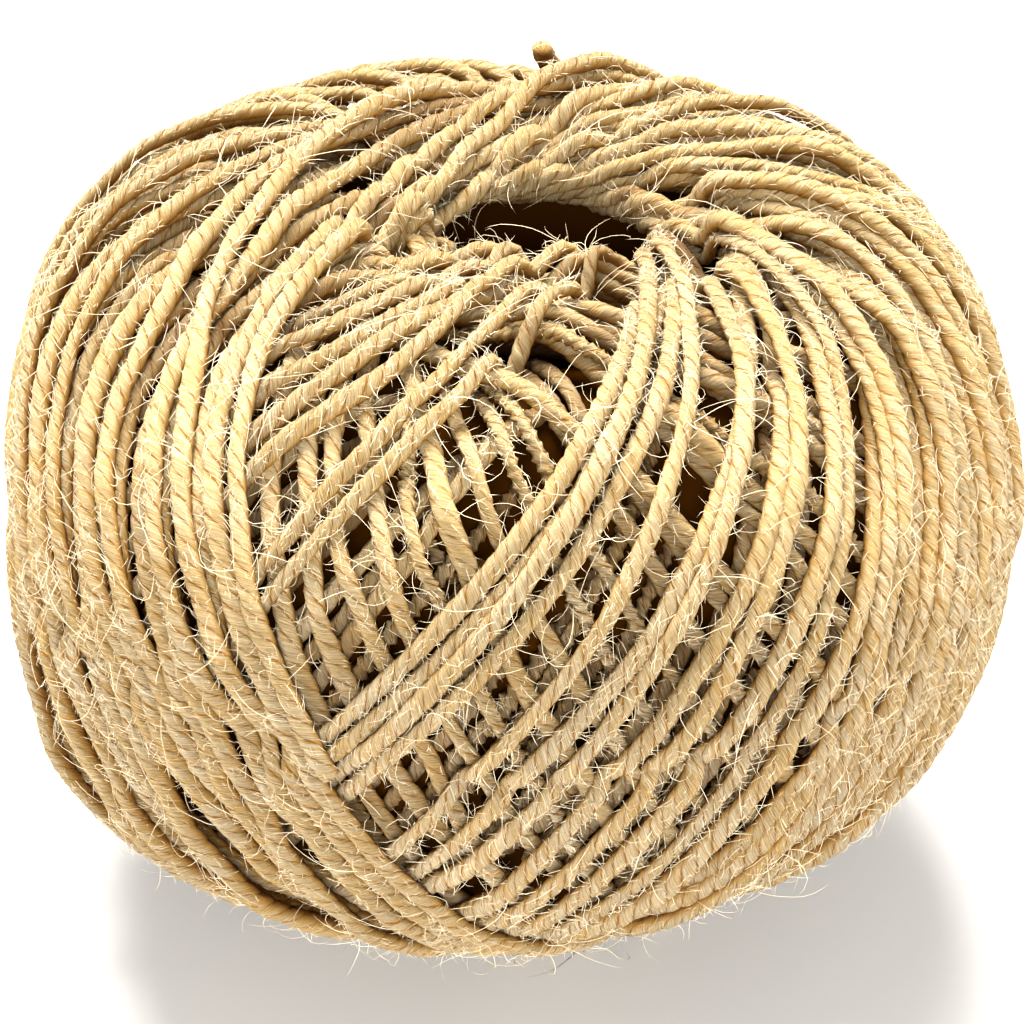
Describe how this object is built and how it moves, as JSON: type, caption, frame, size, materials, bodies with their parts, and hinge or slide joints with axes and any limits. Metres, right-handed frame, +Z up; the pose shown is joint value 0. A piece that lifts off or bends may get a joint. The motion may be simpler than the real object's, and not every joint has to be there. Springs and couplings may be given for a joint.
{
  "type": "roll of flax twine",
  "caption": "Round roll of natural flax twine, wound crosswise about an open middle with a hole right through, a flat foot ring and a short loose end on top.",
  "frame": {"origin": "on the surface that the roll rests on, below the middle of the ball seen from above", "axes": "+Z up along the hole, -Y towards the side that the picture shows, +X to the right of that side"},
  "size_m": [0.0892, 0.0888, 0.0655],
  "materials": {
    "twine": "dry, dull twisted flax, straw to golden, with fine hairs",
    "loose_twine": "dry, dull twisted flax with a cut end"
  },
  "bodies": {
    "root": {"wound_ball": "twine", "loose_end": "loose_twine"}
  },
  "joints": []
}
